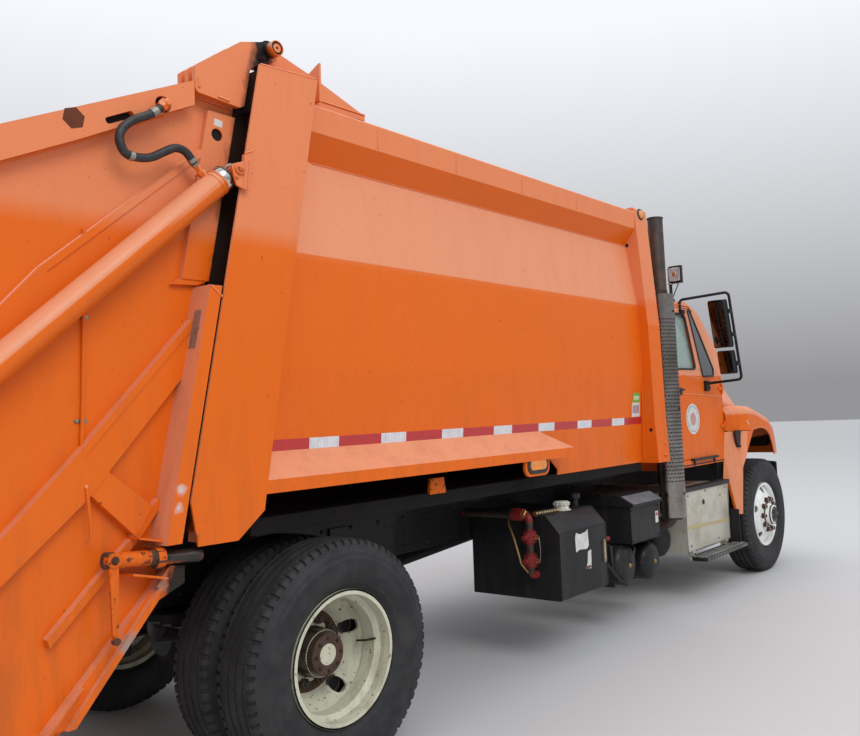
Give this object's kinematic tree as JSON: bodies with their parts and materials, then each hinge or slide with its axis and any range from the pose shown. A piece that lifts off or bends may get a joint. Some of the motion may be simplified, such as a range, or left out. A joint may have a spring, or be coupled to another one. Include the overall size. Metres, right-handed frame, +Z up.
{
  "type": "rear-loading garbage truck",
  "caption": "Rear-loading garbage truck: two-axle chassis with conventional cab, bent-sided refuse body, ejector, and a lifting tailgate with packer and sweep blade.",
  "frame": {"origin": "under the middle of the truck's length and width, at ground level", "axes": "+X forward, +Y the truck's left, +Z up"},
  "size_m": [8.55, 2.684, 3.303],
  "materials": {
    "orange_paint": "gloss",
    "black_paint": "satin, dusty",
    "tyre": "matt",
    "white_wheel": "gloss, rust stained",
    "cream_wheel": "worn, rust stained",
    "tinted_glass": "clear",
    "grey_trim": "matt",
    "engine_grey": "matt",
    "step_aluminium": "satin",
    "valve_red": "dirty",
    "stack_steel": "rusty",
    "shield_chrome": "polished",
    "worn_steel": "worn",
    "rod_chrome": "polished",
    "hose_rubber": "ribbed"
  },
  "bodies": {
    "root": {"chassis_frame": "black_paint", "front_axle": "black_paint", "rear_axle": "black_paint", "engine_block": "engine_grey", "front_bumper": "black_paint", "cab_shell": "orange_paint", "cab_glass": "tinted_glass", "cab_interior": "grey_trim", "fender_quarters": "orange_paint", "mud_flaps": "black_paint", "work_lamp": "black_paint", "step_box": "step_aluminium", "fuel_tank": "step_aluminium", "battery_box": "black_paint", "hydraulic_tank": "black_paint", "hydraulic_valves": "valve_red", "air_tanks": "black_paint", "exhaust_stack": "stack_steel", "heat_shield": "shield_chrome", "body_floor": "orange_paint", "body_side_left": "orange_paint", "body_side_right": "orange_paint", "body_roof": "orange_paint", "body_front_frame": "orange_paint", "body_rear_frame": "orange_paint"},
    "ejector_panel": {"ejector_panel": "orange_paint"},
    "hood": {"hood": "orange_paint", "grille": "grey_trim"},
    "tie_rod": {"tie_rod": "black_paint"},
    "tailgate": {"tailgate_side_left": "orange_paint", "tailgate_side_right": "orange_paint", "tailgate_hood": "orange_paint", "hopper_floor": "orange_paint", "tailgate_locks": "worn_steel", "lift_hose_left": "hose_rubber", "lift_hose_right": "hose_rubber"},
    "packer_carriage": {"packer_carriage": "orange_paint"},
    "sweep_blade": {"sweep_blade": "orange_paint"},
    "sweep_barrels": {"sweep_barrels": "orange_paint"},
    "sweep_rods": {"sweep_rods": "rod_chrome"},
    "knuckle_left": {"knuckle_left": "black_paint"},
    "front_wheel_left": {"front_wheel_left": "white_wheel", "front_tyre_left": "tyre"},
    "rear_wheels_left": {"rear_wheels_left": "cream_wheel", "rear_tyres_left": "tyre"},
    "door_left": {"door_left": "orange_paint", "door_glass_left": "tinted_glass", "mirror_left": "black_paint"},
    "lift_barrel_left": {"lift_barrel_left": "orange_paint"},
    "lift_rod_left": {"lift_rod_left": "rod_chrome"},
    "knuckle_right": {"knuckle_right": "black_paint"},
    "front_wheel_right": {"front_wheel_right": "white_wheel", "front_tyre_right": "tyre"},
    "rear_wheels_right": {"rear_wheels_right": "cream_wheel", "rear_tyres_right": "tyre"},
    "door_right": {"door_right": "orange_paint", "door_glass_right": "tinted_glass", "mirror_right": "black_paint"},
    "lift_barrel_right": {"lift_barrel_right": "orange_paint"},
    "lift_rod_right": {"lift_rod_right": "rod_chrome"}
  },
  "joints": [
    {"name": "steering_left", "type": "hinge", "parent": "root", "child": "knuckle_left", "pos_m": [3.365, 0.8, 0.522], "axis": [0, 0, 1], "range_deg": [-38, 38]},
    {"name": "front_wheel_left_spin", "type": "hinge", "parent": "knuckle_left", "child": "front_wheel_left", "pos_m": [3.365, 1.035, 0.522], "axis": [0, 1, 0], "continuous": true},
    {"name": "rear_wheels_left_spin", "type": "hinge", "parent": "root", "child": "rear_wheels_left", "pos_m": [-1.975, 0.911, 0.522], "axis": [0, 1, 0], "continuous": true},
    {"name": "door_left_hinge", "type": "hinge", "parent": "root", "child": "door_left", "pos_m": [2.822, 1.0105, 1.51], "axis": [0, 0, -1], "range_deg": [0, 65]},
    {"name": "lift_barrel_left_turn", "type": "hinge", "parent": "tailgate", "child": "lift_barrel_left", "pos_m": [-3.727, 1.146, 1.533], "axis": [0, 1, 0], "range_deg": [0, 8.82], "deforming": ["lift_hose_left"]},
    {"name": "lift_rod_left_slide", "type": "slide", "parent": "lift_barrel_left", "child": "lift_rod_left", "axis": [0.7332, 0, 0.68], "range_m": [0, 0.7389]},
    {"name": "steering_right", "type": "hinge", "parent": "root", "child": "knuckle_right", "pos_m": [3.365, -0.8, 0.522], "axis": [0, 0, 1], "range_deg": [-38, 38]},
    {"name": "front_wheel_right_spin", "type": "hinge", "parent": "knuckle_right", "child": "front_wheel_right", "pos_m": [3.365, -1.035, 0.522], "axis": [0, 1, 0], "continuous": true},
    {"name": "rear_wheels_right_spin", "type": "hinge", "parent": "root", "child": "rear_wheels_right", "pos_m": [-1.975, -0.911, 0.522], "axis": [0, 1, 0], "continuous": true},
    {"name": "door_right_hinge", "type": "hinge", "parent": "root", "child": "door_right", "pos_m": [2.822, -1.0105, 1.51], "axis": [0, 0, 1], "range_deg": [0, 65]},
    {"name": "lift_barrel_right_turn", "type": "hinge", "parent": "tailgate", "child": "lift_barrel_right", "pos_m": [-3.727, -1.146, 1.533], "axis": [0, 1, 0], "range_deg": [0, 8.82], "deforming": ["lift_hose_right"]},
    {"name": "lift_rod_right_slide", "type": "slide", "parent": "lift_barrel_right", "child": "lift_rod_right", "axis": [0.7332, 0, 0.68], "range_m": [0, 0.7389]},
    {"name": "tie_rod_shift", "type": "slide", "parent": "root", "child": "tie_rod", "axis": [0, 1, 0], "range_m": [-0.125, 0.125]},
    {"name": "hood_tilt", "type": "hinge", "parent": "root", "child": "hood", "pos_m": [4.11, 0, 0.9], "axis": [0, 1, 0], "range_deg": [0, 62]},
    {"name": "ejector_slide", "type": "slide", "parent": "root", "child": "ejector_panel", "axis": [-1, 0, 0], "range_m": [0, 3.3]},
    {"name": "tailgate_lift", "type": "hinge", "parent": "root", "child": "tailgate", "pos_m": [-2.302, 0, 3.251], "axis": [0, 1, 0], "range_deg": [0, 75]},
    {"name": "packer_slide", "type": "slide", "parent": "tailgate", "child": "packer_carriage", "axis": [-0.6361, 0, -0.7716], "range_m": [0, 0.7]},
    {"name": "sweep_turn", "type": "hinge", "parent": "packer_carriage", "child": "sweep_blade", "pos_m": [-3.14174, 0, 1.64014], "axis": [0, 1, 0], "range_deg": [0, 118]},
    {"name": "sweep_barrel_turn", "type": "hinge", "parent": "packer_carriage", "child": "sweep_barrels", "pos_m": [-2.80796, 0, 2.1944], "axis": [0, 1, 0], "range_deg": [-0.5, 5.55]},
    {"name": "sweep_rod_slide", "type": "slide", "parent": "sweep_barrels", "child": "sweep_rods", "axis": [-0.6188, 0, -0.7855], "range_m": [-0.3433, 0]}
  ],
  "couplings": [
    {"joint": "lift_barrel_left_turn", "follows": "tailgate_lift", "ratio": 0.11089},
    {"joint": "lift_rod_left_slide", "follows": "tailgate_lift", "m_per_rad": 0.56066},
    {"joint": "lift_barrel_right_turn", "follows": "tailgate_lift", "ratio": 0.11089},
    {"joint": "lift_rod_right_slide", "follows": "tailgate_lift", "m_per_rad": 0.56066},
    {"joint": "steering_right", "follows": "steering_left", "ratio": 1},
    {"joint": "tie_rod_shift", "follows": "steering_left", "m_per_rad": -0.17637},
    {"joint": "sweep_barrel_turn", "follows": "sweep_turn", "ratio": 0.042778},
    {"joint": "sweep_rod_slide", "follows": "sweep_turn", "m_per_rad": -0.16426}
  ]
}
